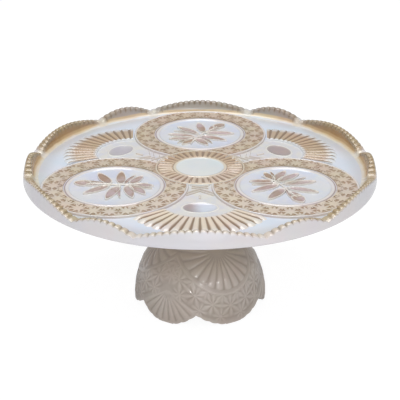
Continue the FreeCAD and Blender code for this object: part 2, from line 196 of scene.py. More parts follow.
def cut_flat(piece, point, normal):
    """Take away what lies on the normal's side of a plane and close the cut."""
    edit(piece)
    bpy.ops.mesh.bisect(plane_co=point, plane_no=normal, use_fill=True, clear_outer=True, threshold=0.0001)
    leave()


def carve(piece, tool):
    """Boolean difference, applied; the tool is used up."""
    take_up(piece)
    cut = piece.modifiers.new("carve", "BOOLEAN")
    cut.operation = "DIFFERENCE"
    cut.object = tool
    cut.solver = "EXACT"
    bpy.ops.object.modifier_apply(modifier=cut.name)
    bpy.data.objects.remove(tool, do_unlink=True)


def drop_islands(piece, test):
    """Delete every separate part of a mesh whose middle fails test(x, y)."""
    mesh = bmesh.new()
    mesh.from_mesh(piece.data)
    left = set(mesh.verts)
    doomed = []
    while left:
        island = [left.pop()]
        for vert in island:
            for edge in vert.link_edges:
                other = edge.other_vert(vert)
                if other in left:
                    left.remove(other)
                    island.append(other)
        middle = sum((v.co for v in island), Vector()) / len(island)
        if not test(middle.x, middle.y):
            doomed += island
    bmesh.ops.delete(mesh, geom=doomed, context="VERTS")
    mesh.to_mesh(piece.data)
    mesh.free()


def finish_piece(piece, material, angle, replaces=(), merge=True):
    """Bring a finished piece to metres, shade it, and hang it on the stand."""
    if merge:
        tidy(piece)
    piece.data.transform(Matrix.Scale(MM, 4))
    take_up(piece)
    bpy.ops.object.shade_smooth_by_angle(angle=math.radians(angle))
    piece.data.materials.clear()
    piece.data.materials.append(material)
    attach(piece, "root")
    if replaces:
        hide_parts(*replaces)
    put_all_down()


def place_thirds(pieces, angle, labels="abc"):
    """Finish three copies of each piece a third of a turn apart, named after it, and drop the piece.
    A piece comes with its material and whether its doubles are merged."""
    for k, label in enumerate(labels):
        for piece, material, merge in pieces:
            item = copy_of(piece, f"{piece.name}_{label}")
            turn(item, k * THIRD)
            finish_piece(item, material, angle, merge=merge)
    for piece, _, _ in pieces:
        bpy.data.objects.remove(piece, do_unlink=True)


def smooth(x, low, high):
    t = np.clip((x - low) / (high - low), 0, 1)
    return t * t * (3 - 2 * t)


def in_ring(r, low, high):
    return (r > low) & (r < high)


def run_length(rows):
    """Distance along a line of points, from its first one to each of them."""
    return np.concatenate([[0], np.cumsum(np.hypot(*np.diff(rows, axis=0).T))])


def from_nearest(angle, first):
    """Angle from the nearest of three axes a third of a turn apart, one of them at the first angle."""
    return (angle - first + THIRD / 2) % THIRD - THIRD / 2


def in_lobes(angle, pitch, wide_width):
    """Where angles fall in a run of wide and narrow lobes in turn: whether in a wide one, how far from
    the lobe's middle, and half the lobe's width."""
    local = angle % pitch
    wide = local < wide_width
    narrow_width = pitch - wide_width
    middle = np.where(wide, wide_width / 2, wide_width + narrow_width / 2)
    return wide, local - middle, np.where(wide, wide_width, narrow_width) / 2


# ---------------- Glazes ----------------

def colour(code):
    """Colour written as six hex digits, as a linear RGBA value."""
    parts = [int(code[i:i + 2], 16) / 255 for i in (0, 2, 4)]
    return [p / 12.92 if p <= 0.04045 else ((p + 0.055) / 1.055) ** 2.4 for p in parts] + [1.0]


def plug(tree, socket, item):
    """Link a socket to another one, or give it a value."""
    if isinstance(item, bpy.types.NodeSocket):
        tree.links.new(item, socket)
    else:
        socket.default_value = item


def new_group(name, inputs, outputs):
    """Node group. Its inputs are given with their defaults, its outputs with their kinds."""
    group = bpy.data.node_groups.new(name, "ShaderNodeTree")
    for title, default in inputs.items():
        kind = "NodeSocketFloat" if isinstance(default, float) else "NodeSocketColor"
        socket = group.interface.new_socket(title, in_out="INPUT", socket_type=kind)
        socket.default_value = default
    for title, kind in outputs.items():
        group.interface.new_socket(title, in_out="OUTPUT", socket_type=kind)
    return group, group.nodes.new("NodeGroupInput").outputs, group.nodes.new("NodeGroupOutput").inputs


def use_group(tree, group, **values):
    node = tree.nodes.new("ShaderNodeGroup")
    node.node_tree = group
    for title, item in values.items():
        plug(tree, node.inputs[title], item)
    return node.outputs


def number_node(tree, operation, *values):
    node = tree.nodes.new("ShaderNodeMath")
    node.operation = operation
    for socket, item in zip(node.inputs, values):
        plug(tree, socket, item)
    return node.outputs[0]


def times(tree, first, second):
    return number_node(tree, "MULTIPLY", first, second)


def plus(tree, first, second):
    return number_node(tree, "ADD", first, second)


def mix_node(tree, mask, first, second, blend="MIX"):
    node = tree.nodes.new("ShaderNodeMix")
    node.data_type = "RGBA"
    node.blend_type = blend
    for number, item in ((0, mask), (6, first), (7, second)):
        plug(tree, node.inputs[number], item)
    return node.outputs[2]


def ramp_mask(tree, value, low, high):
    """Smooth 0..1 mask between two levels; the levels may be sockets."""
    node = tree.nodes.new("ShaderNodeMapRange")
    node.interpolation_type = "SMOOTHSTEP"
    for title, item in (("Value", value), ("From Min", low), ("From Max", high)):
        plug(tree, node.inputs[title], item)
    return node.outputs["Result"]


def object_place(tree):
    return tree.nodes.new("ShaderNodeTexCoord").outputs["Object"]


def object_axes(tree):
    """The place on the object as three numbers, under "X", "Y" and "Z"."""
    split = tree.nodes.new("ShaderNodeSeparateXYZ")
    tree.links.new(object_place(tree), split.inputs[0])
    return split.outputs


def noise_node(tree, scale, detail=3.0, output="Fac"):
    node = tree.nodes.new("ShaderNodeTexNoise")
    for title, item in (("Vector", object_place(tree)), ("Scale", scale), ("Detail", detail)):
        plug(tree, node.inputs[title], item)
    return node.outputs[output]


def painted(tree, name):
    """Number that was painted on a mesh under this name."""
    node = tree.nodes.new("ShaderNodeAttribute")
    node.attribute_name = name
    return node.outputs["Fac"]


def lustre_group():
    """Slow drift of a glaze between two tints, with a finer mottle on top."""
    group, given, result = new_group(
        "lustre", {"Base": colour("ffffff"), "Tint": colour("dddddd"), "Amount": 0.5, "Scale": 30.0},
        {"Color": "NodeSocketColor"})
    broad = noise_node(group, given["Scale"], 2.0)
    finer = noise_node(group, times(group, given["Scale"], 5.0), 4.0)
    both = plus(group, times(group, broad, 0.7), times(group, finer, 0.3))
    mask = times(group, ramp_mask(group, both, 0.38, 0.62), given["Amount"])
    group.links.new(mix_node(group, mask, given["Base"], given["Tint"]), result["Color"])
    return group


def pool_and_shade_group():
    """Where coloured glaze has run off the high ground and pooled below, and where shade is painted low down:
    1 at Low, 0 at High.
    """
    group, given, result = new_group(
        "pool_and_shade", {"Low": 0.0, "High": 1.0, "Wander": 0.0002}, {"Mask": "NodeSocketFloat"})
    wobble = number_node(group, "SUBTRACT", noise_node(group, 160.0), 0.5)
    level = plus(group, object_axes(group)["Z"], times(group, wobble, given["Wander"]))
    mask = ramp_mask(group, level, given["Low"], given["High"])
    group.links.new(number_node(group, "SUBTRACT", 1.0, mask), result["Mask"])
    return group


def skin_group():
    """Uneven surface of fired glaze: shallow orange peel over a slow swell, as a height, and its gloss."""
    group, given, result = new_group(
        "glaze_skin", {"Scale": 400.0}, {"Height": "NodeSocketFloat", "Gloss": "NodeSocketFloat"})
    peel = noise_node(group, given["Scale"], 2.0)
    swell = noise_node(group, 60.0, 1.0)
    group.links.new(plus(group, times(group, peel, 0.35), swell), result["Height"])
    group.links.new(plus(group, times(group, swell, 0.12), 0.16), result["Gloss"])
    return group


def pearl_group():
    """Mother-of-pearl play of pink, blue and green over a glaze."""
    group, given, result = new_group(
        "pearl", {"Color": colour("ffffff"), "Amount": 0.1}, {"Color": "NodeSocketColor"})
    flow = noise_node(group, 55.0, output="Color")
    group.links.new(mix_node(group, given["Amount"], given["Color"], flow, "OVERLAY"), result["Color"])
    return group


LUSTRE = lustre_group()
PEARL = pearl_group()
POOL_AND_SHADE = pool_and_shade_group()
SKIN = skin_group()


def glaze(name, build, bump=0.25, coat=0.5, pearl=0.09):
    """Glossy glazed ceramic. build(tree) gives the colour socket."""
    material = bpy.data.materials.new(name)
    material.use_nodes = True
    tree = material.node_tree
    shader = tree.nodes["Principled BSDF"]
    sheen = use_group(tree, PEARL, Color=build(tree), Amount=pearl)
    tree.links.new(sheen["Color"], shader.inputs["Base Color"])
    skin = use_group(tree, SKIN, Scale=400.0)
    tree.links.new(skin["Gloss"], shader.inputs["Roughness"])
    relief = tree.nodes.new("ShaderNodeBump")
    relief.inputs["Strength"].default_value = bump
    relief.inputs["Distance"].default_value = 0.0002
    tree.links.new(skin["Height"], relief.inputs["Height"])
    tree.links.new(relief.outputs["Normal"], shader.inputs["Normal"])
    shader.inputs["Coat Weight"].default_value = coat
    shader.inputs["Coat Roughness"].default_value = 0.06
    shader.inputs["IOR"].default_value = 1.5
    return material


def lustre(tree, base, tint, scale, amount=0.8):
    """Colour socket of a glaze that drifts between two tints."""
    return use_group(tree, LUSTRE, Base=colour(base), Tint=colour(tint), Amount=amount, Scale=scale)["Color"]


def behind(tree, most):
    """Mask that grows from 0 at the front of the plate to its most at the back."""
    return times(tree, ramp_mask(tree, object_axes(tree)["Y"], -0.08, 0.03), most)


def stained(crest, crest_tint, pool_and_shade_tone, low, high, back_shade=0.0):
    """Pale crests and a darker tone low down, between two heights in millimetres: glaze pooled in the
    recesses of the stars, and painted shade at the foot of the channel marks. The crests darken towards the
    back as painted shade."""
    def build(tree):
        mask = use_group(tree, POOL_AND_SHADE, Low=low * MM, High=high * MM)["Mask"]
        # painted shade: the crests turn darker towards the back of the plate
        top = mix_node(tree, behind(tree, back_shade), lustre(tree, crest, crest_tint, 40.0), colour("b9a48a"))
        return mix_node(tree, mask, top, colour(pool_and_shade_tone))
    return build


def fluted(rib_tone, rib_tint, groove_tone):
    """Cream ribs, dark glaze in the grooves between them, paler where the ribs run out. The ribs darken
    towards the back as painted shade.
    """
    def build(tree):
        # painted shade: the ribs turn darker towards the back of the plate
        rib = mix_node(tree, behind(tree, 0.9), lustre(tree, rib_tone, rib_tint, 60.0), colour("b89e82"))
        fading = times(tree, painted(tree, "fade"), plus(tree, behind(tree, 0.6), 0.4))
        rib = mix_node(tree, fading, rib, colour("d9dee4"))
        return mix_node(tree, painted(tree, "groove"), rib, colour(groove_tone))
    return build


def rim_colour(tree):
    """Plain outside; inside, a gold band along the foot of each lobe, grey above it and on the beads,
    with darker glaze between them."""
    axes = object_axes(tree)
    wobble = number_node(tree, "SUBTRACT", noise_node(tree, 70.0), 0.5)
    level = plus(tree, axes["Z"], times(tree, wobble, 0.0016))
    # the left and right of the rim keep more of the gold than its front and back do
    aside = number_node(tree, "ABSOLUTE", axes["X"])
    sideways = ramp_mask(tree, aside, 0.06, 0.125)
    gilt = ramp_mask(tree, aside, 0.035, 0.1)
    back = ramp_mask(tree, axes["Y"], -0.02, 0.05)

    def two_tints(mask, first, second, scale=35.0):
        """One pair of tints where the mask is 0, another where it is 1."""
        return mix_node(tree, mask, lustre(tree, *first, scale), lustre(tree, *second, scale))

    def above(start, end, lower, upper):
        """One tone up to a height over the floor, another above it, in millimetres."""
        mask = ramp_mask(tree, level, (FLOOR_Z + start) * MM, (FLOOR_Z + end) * MM)
        return mix_node(tree, mask, lower, upper)

    low = two_tints(sideways, ("d9c9ac", "e2d6c2"), ("c8b18b", "d2c1a2"))
    gold = two_tints(sideways, ("d2c0a2", "c6ae8c"), ("b8996e", "a5865e"))
    grey = two_tints(sideways, ("a8a29c", "b3aba2"), ("a98556", "967345"))
    cove = mix_node(tree, sideways, colour("d5dae0"), colour("d1cabb"))
    wall = above(2.8, 3.8, above(0.9, 1.9, low, gold), grey)
    wall = above(0.2, 0.8, cove, wall)
    wall = mix_node(tree, painted(tree, "lobe"), lustre(tree, "d8d5cd", "d9cdb8", 35.0), wall)
    front_rope = two_tints(gilt, ("d8cfc4", "cfc2ae"), ("a8926f", "bfae92"), 90.0)
    back_rope = two_tints(sideways, ("a99e92", "b5aca2"), ("a59073", "baa888"), 90.0)
    rope = mix_node(tree, back, front_rope, back_rope)
    body = mix_node(tree, painted(tree, "inside"), lustre(tree, "dddbdf", "e2dcdc", 18.0), wall)
    body = mix_node(tree, painted(tree, "rope"), body, rope)
    dark = mix_node(tree, back, colour("54432e"), colour("7a6446"))
    return mix_node(tree, times(tree, painted(tree, "gap"), 0.9), body, dark)


def floor_colour(tree):
    """Pale blue glaze, greyer towards the rim as painted shade from the rim wall, and cream round the dishes.
    """
    away = tree.nodes.new("ShaderNodeVectorMath")
    away.operation = "LENGTH"
    tree.links.new(object_place(tree), away.inputs[0])
    # the distance is from the table's middle, so the floor's height counts in it
    start, end = [math.hypot(radius, FLOOR_Z * MM) for radius in (0.115, 0.129)]
    # painted shade: the floor greys towards the foot of the rim wall, which shades it
    edge = times(tree, ramp_mask(tree, away.outputs["Value"], start, end), 0.65)
    plain = mix_node(tree, edge, lustre(tree, "d2dbe7", "dcdde6", 18.0), colour("bfc0c0"))
    return mix_node(tree, painted(tree, "hub"), plain, lustre(tree, "d9d6d0", "cfcfd6", 120.0, 0.9))


def centre_colour(tree):
    """Plain pale disc, brown ground under the rosette's ribs, cream rims."""
    plain = lustre(tree, "d2d8da", "dcdcd8", 40.0, 0.7)
    lower = mix_node(tree, painted(tree, "band"), plain, colour("99806a"))
    high = ramp_mask(tree, object_axes(tree)["Z"], (RAISED_Z - 0.45) * MM, (RAISED_Z + 0.2) * MM)
    return mix_node(tree, high, lower, colour("d6c9b4"))


def dish_colour(tree):
    """Mauve glaze, pale blue on the right of the front dish as a painted reflection, and partly pale over the
    left dish.
    """
    axes = object_axes(tree)
    # painted reflection: the right of the front dish turns pale blue
    front = number_node(tree, "SUBTRACT", 1.0, ramp_mask(tree, axes["Y"], -0.05, 0.0))
    right = times(tree, front, ramp_mask(tree, axes["X"], -0.009, 0.003))
    left = times(tree, 0.45, ramp_mask(tree, times(tree, axes["X"], -1.0), 0.05, 0.06))
    pale_share = number_node(tree, "MAXIMUM", right, left)
    mauve = lustre(tree, "ab9b94", "a19698", 60.0, 0.9)
    pale = lustre(tree, "cfd4e0", "c5c3cf", 60.0)
    return mix_node(tree, painted(tree, "lip"), mix_node(tree, pale_share, mauve, pale), colour("dcdad4"))


def medallion_colour(tree):
    """Pale lilac ground, stained star band, and cream rims."""
    ground = lustre(tree, "cbd0de", "d8d8d8", 45.0)
    rim = lustre(tree, "d9d6d6", "d8cfc8", 70.0, 0.7)
    pit = lustre(tree, "a8917a", "b8a592", 90.0)
    tone = mix_node(tree, painted(tree, "rim"), ground, rim)
    tone = mix_node(tree, painted(tree, "band"), tone, pit)
    return mix_node(tree, painted(tree, "line"), tone, colour("a8958f"))


def leaf_colour(tree):
    """Cream outlines round blades stained tan and mauve."""
    outline = lustre(tree, "e2ded8", "dfd6ca", 60.0)
    return mix_node(tree, painted(tree, "blade"), outline, lustre(tree, "a08772", "b8a6a6", 45.0, 1.0))


def foot_colour(tree):
    """Off-white glaze. High up towards the stem it turns darker and browner as painted shadow of the plate
    above, and in the hollows of the pattern it is darker with pooled glaze and painted shade.
    """
    # painted shadow of the plate: darker and browner high up, towards the stem
    high = ramp_mask(tree, object_axes(tree)["Z"], 0.028, 0.055)
    base = mix_node(tree, high, lustre(tree, "c5b8ad", "cbc2b8", 35.0, 0.7), colour("b6a795"))
    # darker in the hollows: pooled glaze, with painted shade added
    return mix_node(tree, painted(tree, "hollow"), base, colour("a5988b"))


def slip_colour(tree):
    """Dull buff slip in the joint of plate and foot."""
    return lustre(tree, "b9b2a8", "a89f92", 80.0, 0.6)


def make_materials():
    # the star band's crests take painted shade towards the back
    stars = stained("d2c4b2", "cdc2b7", "a6917a", RAISED_Z - 0.3, RAISED_Z + 0.2, back_shade=0.5)
    return {
        "rim": glaze("rim_glaze", rim_colour),
        "floor": glaze("pale_blue_glaze", floor_colour),
        "centre": glaze("centre_glaze", centre_colour),
        "medallion": glaze("medallion_glaze", medallion_colour),
        "ribs": glaze("rib_glaze", fluted("e0d1bf", "dacdbf", "846c54")),
        "rosette": glaze("rosette_glaze", fluted("d8c8b5", "d8cbbc", "8c7560")),
        "stars": glaze("star_glaze", stars, coat=0.1),
        "leaves": glaze("leaf_glaze", leaf_colour),
        # painted shade: the channel marks turn taupe at their foot, along the floor
        "hub": glaze("hub_glaze", stained("e2dcd6", "ddd3c7", "c0b1a1", FLOOR_Z + 0.1, FLOOR_Z + 0.7)),
        "dish": glaze("dish_glaze", dish_colour),
        "foot": glaze("foot_glaze", foot_colour, bump=0.3, coat=0.35, pearl=0.03),
        "slip": glaze("slip_glaze", slip_colour),
    }


def paint(piece, name, values):
    """Keep one number per vertex on a mesh, for a glaze to read."""
    layer = piece.data.attributes.new(name, "FLOAT", "POINT")
    layer.data.foreach_set("value", np.asarray(values, np.float32))


# ---------------- Plate: shell with its scalloped, beaded rim ----------------

LOBE_PAIRS = 6  # a wide and a narrow lobe each
LOBE_PITCH = TURN / LOBE_PAIRS
WIDE = math.radians(38.4)
WIDE_BEADS, NARROW_BEADS = 18, 10
WIDE_RISE, NARROW_RISE = 11.1, 10.4  # top of a lobe over the floor, with its beads
NOTCH_RISE = 2.4  # between two lobes
BEAD_RISE = 1.1
SEAT_IN, SEAT_OUT = 25.5, 34
UNDERSIDE_FLAT = 98  # the underside is flat to here and bends up beyond
UNDERSIDE_RUN, UNDERSIDE_CURVE = 42.5, 217.0  # sideways run and radius of that bend
HEEL_R = 2.1  # round edge from the underside to the wall
BEAD_COLUMNS = 8  # of the mesh, to a bead
WALL_FOOT = FLOOR_Z - 0.8
COVE_TOP_Z = FLOOR_Z + 6.4
COVE_R = 6.4
COVE_WIDTH = COVE_R * 0.84
COVE_TOP_R = PLATE_R - 6.7
FLOOR_EDGE = COVE_TOP_R - COVE_WIDTH
LEAN_OUTSIDE = 2.7  # the outside of the wall leans in by this much, up to its top
FLARE_INSIDE = 1.0  # the inside of the wall leans out by this much above the cove
WALL_MIDDLE = PLATE_R - 4.55  # between the inside and the outside of the wall
LIP_ROUND = 0.55
RIM_TOP = PLATE_HIGH.z
BEADS_ROUND = LOBE_PAIRS * (WIDE_BEADS + NARROW_BEADS)


def outer_r(z):
    """Radius of the outside of the rim at a height."""
    t = np.clip((z - WALL_FOOT) / (RIM_TOP - WALL_FOOT), 0, 1)
    return PLATE_R - LEAN_OUTSIDE * t ** 1.4


def inner_r(z):
    """Radius of the inside of the rim at a height."""
    low = np.clip((COVE_TOP_Z - z) / COVE_R, 0, 1)
    cove = COVE_TOP_R - COVE_WIDTH * (1 - np.sqrt(1 - low ** 2))
    return cove + FLARE_INSIDE * np.clip((z - COVE_TOP_Z) / (RIM_TOP - COVE_TOP_Z), 0, 1)


def lobe_height(angle):
    """Height above the floor of the lobed rim, without its beads, and the bead phase, at angles
    counted from the front."""
    wide, aside, half = in_lobes(angle + WIDE / 2, LOBE_PITCH, WIDE)
    across = aside / half
    rise = np.where(wide, WIDE_RISE, NARROW_RISE) - BEAD_RISE
    height = NOTCH_RISE + (rise - NOTCH_RISE) * (1 - across ** 2) ** 1.15
    phase = ((across + 1) / 2 * np.where(wide, WIDE_BEADS, NARROW_BEADS)) % 1.0
    return height, phase


def shell_profile():
    """Outline of the plate's body from the axis underneath, round the rim, and back to the axis."""
    line = [(0, UNDERSIDE_Z), (SEAT_IN, UNDERSIDE_Z), (SEAT_IN, PLATE_LOW.z), (SEAT_OUT, PLATE_LOW.z),
            (SEAT_OUT, UNDERSIDE_Z), (UNDERSIDE_FLAT, UNDERSIDE_Z)]
    for i in range(1, 8):
        x = UNDERSIDE_RUN * i / 7
        rise = UNDERSIDE_CURVE - math.sqrt(UNDERSIDE_CURVE ** 2 - x ** 2)
        line.append((UNDERSIDE_FLAT + x, UNDERSIDE_Z + rise))
    for degrees in (-60, -45, -30, -15, 0):
        a = math.radians(degrees)
        line.append((PLATE_R - HEEL_R + HEEL_R * math.cos(a), WALL_FOOT + HEEL_R * math.sin(a)))
    rows = 12
    for i in range(1, rows + 1):
        z = WALL_FOOT + (RIM_TOP - WALL_FOOT) * i / rows
        line.append((float(outer_r(z)), z))
    for share in (0.83, 0.62, 0.38, 0.17):
        line.append((float(inner_r(RIM_TOP) + share * (outer_r(RIM_TOP) - inner_r(RIM_TOP))), RIM_TOP))
    rows = 14
    for i in range(rows + 1):
        z = RIM_TOP - (RIM_TOP - FLOOR_Z) * i / rows
        line.append((float(inner_r(z)), z))
    line += [(FLOOR_EDGE - 0.5, FLOOR_Z - 3.0), (0, FLOOR_Z - 3.0)]
    return line


def shape_rim(shell):
    """Lower the full-height rim to its lobes, swell it into beads, and paint what its glaze reads."""
    x, y, z = points(shell).T
    r = np.hypot(x, y)
    height, phase = lobe_height(np.arctan2(x, -y))
    bead = np.sqrt(np.clip(1 - (2 * phase - 1) ** 2, 0, 1))
    crest = FLOOR_Z + height + BEAD_RISE * bead
    span = outer_r(RIM_TOP) - inner_r(RIM_TOP)
    on_top = (np.abs(z - RIM_TOP) < 0.01) & (r > inner_r(RIM_TOP) - 0.05)
    across = np.clip((r - inner_r(RIM_TOP)) / span, 0, 1)
    outside = (r > WALL_MIDDLE) & (z > WALL_FOOT + 0.01) & ~(on_top & (across < 0.99))
    inside = (r < WALL_MIDDLE) & (r > FLOOR_EDGE - 0.1) & (z > FLOOR_Z - 0.01) & ~on_top
    inside |= on_top & (across < 0.01)
    top = on_top & (across >= 0.01) & (across <= 0.99)

    share = (z - WALL_FOOT) / (RIM_TOP - WALL_FOOT)
    z_out = WALL_FOOT + share * (crest - WALL_FOOT)
    r_out = outer_r(z_out) + smooth(z_out, crest - 3.4, crest - 1.6) * (0.2 * bead - 0.1)

    share = (z - FLOOR_Z) / (RIM_TOP - FLOOR_Z)
    z_in = FLOOR_Z + share * (crest - FLOOR_Z)
    near_in = smooth(z_in, crest - 4.2, crest - 1.2)
    r_in = inner_r(z_in) - near_in * (0.8 * bead - 0.35)

    dome = 1 - (2 * across - 1) ** 2
    r_top = inner_r(crest) + across * (outer_r(crest) - inner_r(crest))
    z_top = crest + LIP_ROUND * dome * (0.4 + 0.6 * bead) - LIP_ROUND

    new_r = np.where(outside, r_out, np.where(inside, r_in, np.where(top, r_top, r)))
    new_z = np.where(outside, z_out, np.where(inside, z_in, np.where(top, z_top, z)))
    new_z = new_z - np.where(outside | inside, LIP_ROUND * smooth(new_z, crest - 1.2, crest), 0)
    scale = np.where(r > 1, new_r / np.maximum(r, 1e-6), 1)
    move_points(shell, np.stack([x * scale, y * scale, new_z], axis=1))

    back = y > 0
    lobe = smooth(height, NOTCH_RISE + 0.4, NOTCH_RISE + 2.4)
    whole = np.where(back, 0.2 + 0.8 * lobe, 0.8 + 0.2 * lobe)
    rope_out = outside * 0.45 * smooth(z_out, crest - 1.4, crest - 0.4)
    rope = whole * np.where(inside, near_in, np.where(top, 1.0, rope_out))
    gap_out = np.where(back, 0.4, 0.85) * rope
    gap = np.where(outside, gap_out, np.where(top, 1 - 0.4 * across, rope))
    paint(shell, "gap", (0.1 + 0.9 * lobe) * (1 - bead) ** 0.8 * gap)
    paint(shell, "inside", np.where(inside, 1.0, np.where(top, 1 - smooth(across, 0.3, 0.8), 0.0)))
    paint(shell, "rope", rope)
    paint(shell, "lobe", lobe)


def make_shell(materials):
    shell = lathe("plate_shell", shell_profile(), BEADS_ROUND * BEAD_COLUMNS)
    shape_rim(shell)
    finish_piece(shell, materials["rim"], 50, replaces=("plate",), merge=False)


# ---------------- Plate: floor ----------------

FAN_CENTRE = (0.0, -65.0)  # of the front fan; the others are a third of a turn away
DISH_OFFSET = 77.0
DISH_HALVES = (13.0, 8.8)  # half sizes of a dish inside its lip
DISH_BOWL = (14.0, 9.5, 2.1)  # hollow in the floor that holds it
DISH_LINE = (  # share of the half size, height over the floor
    (0, -1.1), (0.5, -1.08), (0.8, -0.75), (0.95, -0.1), (1.0, 0.2), (1.05, 0.3), (1.1, 0.2),
    (1.13, -0.1), (1.13, -1.4), (0, -1.4), (0, -1.1))


def hub_share(rows):
    """Cream ground round each dish, from the fan's ribs to the rosette: 1 there, 0 on the floor."""
    r = np.hypot(rows[:, 0], rows[:, 1])
    angle = from_nearest(np.arctan2(rows[:, 0], -rows[:, 1]), 0)
    reach = np.hypot(r * np.sin(angle), r * np.cos(angle) + FAN_CENTRE[1])
    return 1 - smooth(reach, 29.0, 31.0)


def make_floor(materials):
    """Plain floor with three oval dishes sunk into it."""
    line = [(0, FLOOR_Z)] + [(r, FLOOR_Z) for r in range(3, 129, 3)] + [(FLOOR_EDGE + 0.3, FLOOR_Z)]
    line += [(FLOOR_EDGE + 0.3, FLOOR_Z - 2.0), (0, FLOOR_Z - 2.0), (0, FLOOR_Z)]
    floor = lathe("plate_floor", line, 180)
    for k in range(3):
        bowl = add(bpy.ops.mesh.primitive_uv_sphere_add, segments=48, ring_count=24, radius=1.0)
        edit(bowl)
        bpy.ops.transform.resize(value=DISH_BOWL)
        bpy.ops.transform.translate(value=(0, -DISH_OFFSET, FLOOR_Z + 0.25))
        leave()
        turn(bowl, k * THIRD)
        carve(floor, bowl)
    paint(floor, "hub", hub_share(points(floor)))
    finish_piece(floor, materials["floor"], 30)
    dish = lathe("fan_dish", [(r, FLOOR_Z + z) for r, z in DISH_LINE], 64)
    paint(dish, "lip", smooth(np.hypot(*points(dish).T[:2]), 0.93, 1.01))
    dish.data.transform(Matrix.Diagonal((*DISH_HALVES, 1, 1)))
    shift(dish, y=-DISH_OFFSET)
    place_thirds([(dish, materials["dish"], True)], 50, labels="123")


def make_disc():
    """Plain disc in the middle, with the rosette's ground round it."""
    top = RAISED_Z - 0.5
    line = [(0, top), (10, top), (17.5, top), (19.0, top + 0.05), (19.6, top + 0.45), (20.4, top + 0.75),
            (21.3, top + 0.6), (21.9, top + 0.1), (22.4, top - 0.25), (34.6, top - 0.25), (34.9, top + 0.3),
            (35.2, RAISED_Z + 0.35), (35.7, RAISED_Z + 0.4), (36.1, RAISED_Z + 0.1), (36.3, FLOOR_Z - 0.5),
            (0, FLOOR_Z - 0.5), (0, top)]
    disc = lathe("centre_disc", line, 144)
    paint(disc, "band", in_ring(np.hypot(*points(disc).T[:2]), 21.8, 34.8))
    return disc


# ---------------- Ribs: rosette and fans ----------------

ROSETTE_GROOVES = 36
ROSETTE_PITCH = TURN / ROSETTE_GROOVES
ROSETTE_RING = (21.7, 34.7)  # inner and outer edge of the fluted ground
FAN_GROOVES = 15
FAN_PITCH = math.radians(7.57)
FAN_RING = (30.0, 58.4)
FLUTE_STEPS = 14  # columns of the mesh to a groove


def press_flutes(piece, centre, axis, pitch, reach, shares, depth, taper=1.6):
    """Press grooves into the top of a turned ground, with rounded ribs between them. One groove lies
    on the axis. A groove takes up its share of the pitch at each end of its reach; it starts rounded
    and tapers off outwards."""
    x, y, z = points(piece).T
    r = np.hypot(x - centre[0], y - centre[1])
    angle = np.arctan2(y - centre[1], x - centre[0]) - axis
    aside = np.abs((angle / pitch + 0.5) % 1.0 - 0.5)
    inner, outer = reach
    share = np.interp(r, reach, shares)
    end = np.sqrt(np.clip(np.minimum((r - inner) / 3.0, (outer - r) / taper), 0, 1))
    across = aside / np.maximum(share * end / 2, 1e-6)
    groove = np.clip(1 - across ** 2, 0, 1)
    rib = np.clip((aside - share / 2) / (0.5 - share / 2), 0, 1)
    on_top = z > FLOOR_Z - 0.3
    sunk = depth * groove ** 0.8 + 0.3 * (1 - rib) ** 2 * (end > 0)
    move_points(piece, np.stack([x, y, z - np.where(on_top, sunk, 0)], axis=1))
    paint(piece, "groove", np.where(on_top, groove ** 0.6, 0))


def flute_profile(inner, outer, tip):
    """Outline of the ground that carries ribs: it rises steeply inside and falls away over its tip."""
    foot, crest = FLOOR_Z - 0.5, RAISED_Z + 0.35
    line = [(inner, foot), (inner, FLOOR_Z + 0.1), (inner + 0.5, RAISED_Z - 0.1)]
    level = outer - tip - inner - 1
    steps = int(level / 0.55)
    line += [(inner + 1 + level * i / steps, crest) for i in range(steps + 1)]
    for t in (0.2, 0.4, 0.6, 0.8, 1.0):
        line.append((outer - tip + tip * t, crest - (crest - 0.1 - FLOOR_Z) * t ** 1.5))
    return line + [(outer, foot), (inner, foot)]


def make_rosette(materials):
    finish_piece(make_disc(), materials["centre"], 50)
    outline = flute_profile(*ROSETTE_RING, 0.8)
    flutes = lathe("rosette_flutes", outline, ROSETTE_GROOVES * FLUTE_STEPS)
    press_flutes(flutes, (0, 0), ROSETTE_PITCH / 2, ROSETTE_PITCH, (22.2, 34.2), (0.44, 0.56), 0.7)
    paint(flutes, "fade", np.zeros(len(flutes.data.vertices)))
    finish_piece(flutes, materials["rosette"], 60, merge=False)


def make_fan(materials):
    """Sector of a fluted ground at the front, closed at its two ends, and its copies."""
    sweep = FAN_PITCH * FAN_GROOVES
    outline = flute_profile(*FAN_RING, 5.0)
    fan = lathe("fan_flutes", outline, FAN_GROOVES * FLUTE_STEPS, centre=FAN_CENTRE, sweep=sweep)
    turn(fan, -TURN / 4 - sweep / 2, FAN_CENTRE)
    press_flutes(fan, FAN_CENTRE, -TURN / 4, FAN_PITCH, (30.6, 58.8), (0.36, 0.52), 0.65, taper=9.0)
    reach = np.hypot(*(points(fan)[:, :2] - FAN_CENTRE).T)
    paint(fan, "fade", 0.8 * (1 - smooth(reach, 30.3, 34)) + 0.95 * smooth(reach, 46.5, 56))
    edit(fan)
    select_open_edges()
    bpy.ops.mesh.edge_face_add()
    leave()
    place_thirds([(fan, materials["ribs"], False)], 60)


# ---------------- Medallions: ground, rims and star band ----------------

MEDALLION = (0.0, 76.7)  # the one at the back; the others are a third of a turn away
STAR_ROW = 48.0  # whole stars, from the medallion's middle
STARS_ROUND = 24
STAR_CORNERS = 16  # tips of the rays, and waists between them
STAR_HEIGHT = 0.55


